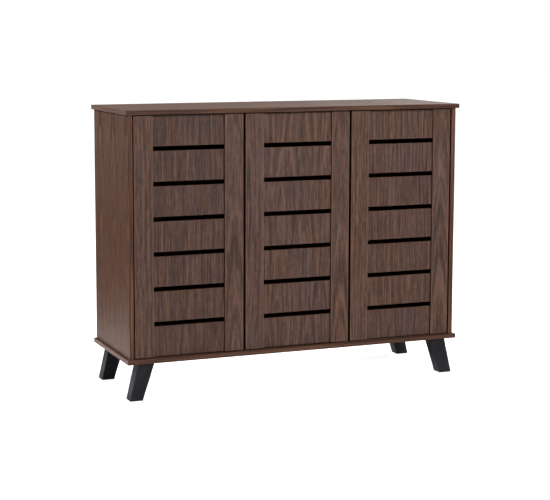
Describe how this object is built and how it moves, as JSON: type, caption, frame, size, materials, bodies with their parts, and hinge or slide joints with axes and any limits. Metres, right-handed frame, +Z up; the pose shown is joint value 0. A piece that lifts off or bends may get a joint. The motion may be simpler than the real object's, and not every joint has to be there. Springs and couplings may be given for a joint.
{
  "type": "shoe cabinet",
  "caption": "Dark walnut shoe cabinet with slatted inset doors that swing open on concealed hinges, shelves inside, and splayed black legs.",
  "frame": {"origin": "on the floor, under the middle of the top panel", "axes": "+X to the right as seen from the front, along the width; +Y from the front to the back; +Z up"},
  "size_m": [1.2, 0.4, 0.944],
  "materials": {
    "walnut_laminate": "satin printed walnut melamine",
    "black_leg_lacquer": "satin black lacquer",
    "brown_hardboard": "matte hardboard",
    "zinc_steel": "zinc or nickel plated",
    "white_plastic": "moulded",
    "magnet_ferrite": "dull dark grey",
    "beech_dowel": "bare turned beech",
    "black_pad": "matte"
  },
  "bodies": {
    "cabinet": {"top_panel": "walnut_laminate", "base_panel": "walnut_laminate", "left_side_panel": "walnut_laminate", "left_partition": "walnut_laminate", "right_partition": "walnut_laminate", "right_side_panel": "walnut_laminate", "left_shelf_1": "walnut_laminate", "left_shelf_2": "walnut_laminate", "left_shelf_3": "walnut_laminate", "middle_shelf_1": "walnut_laminate", "middle_shelf_2": "walnut_laminate", "middle_shelf_3": "walnut_laminate", "right_shelf_1": "walnut_laminate", "right_shelf_2": "walnut_laminate", "right_shelf_3": "walnut_laminate", "front_left_leg": "black_leg_lacquer", "front_right_leg": "black_leg_lacquer", "back_left_leg": "black_leg_lacquer", "back_right_leg": "black_leg_lacquer", "back_panel": "brown_hardboard", "shelf_pins": "zinc_steel", "cam_discs": "zinc_steel", "cam_bolts": "zinc_steel", "wood_dowels": "beech_dowel", "back_panel_nails": "zinc_steel", "leg_screws": "zinc_steel", "foot_pads": "black_pad", "hinge_plates": "zinc_steel", "hinge_screws": "zinc_steel", "catch_housings": "white_plastic", "catch_magnets": "magnet_ferrite", "catch_screws": "zinc_steel", "left_door_hinge_arms": "zinc_steel", "middle_door_hinge_arms": "zinc_steel", "right_door_hinge_arms": "zinc_steel"},
    "left_door": {"left_door_left_stile": "walnut_laminate", "left_door_right_stile": "walnut_laminate", "left_door_slats": "walnut_laminate", "left_door_screws": "zinc_steel", "left_door_hinge_cups": "zinc_steel", "left_door_hinge_pins": "zinc_steel", "left_door_strike_plate": "zinc_steel"},
    "middle_door": {"middle_door_left_stile": "walnut_laminate", "middle_door_right_stile": "walnut_laminate", "middle_door_slats": "walnut_laminate", "middle_door_screws": "zinc_steel", "middle_door_hinge_cups": "zinc_steel", "middle_door_hinge_pins": "zinc_steel", "middle_door_strike_plate": "zinc_steel"},
    "right_door": {"right_door_left_stile": "walnut_laminate", "right_door_right_stile": "walnut_laminate", "right_door_slats": "walnut_laminate", "right_door_screws": "zinc_steel", "right_door_hinge_cups": "zinc_steel", "right_door_hinge_pins": "zinc_steel", "right_door_strike_plate": "zinc_steel"}
  },
  "joints": [
    {"name": "left_door_swing", "type": "hinge", "parent": "cabinet", "child": "left_door", "pos_m": [-0.5605, -0.179, 0.23125], "axis": [0, 0, -1], "range_deg": [0, 100]},
    {"name": "middle_door_swing", "type": "hinge", "parent": "cabinet", "child": "middle_door", "pos_m": [-0.17683, -0.179, 0.23125], "axis": [0, 0, -1], "range_deg": [0, 100]},
    {"name": "right_door_swing", "type": "hinge", "parent": "cabinet", "child": "right_door", "pos_m": [0.5605, -0.179, 0.23125], "axis": [0, 0, 1], "range_deg": [0, 100]}
  ]
}
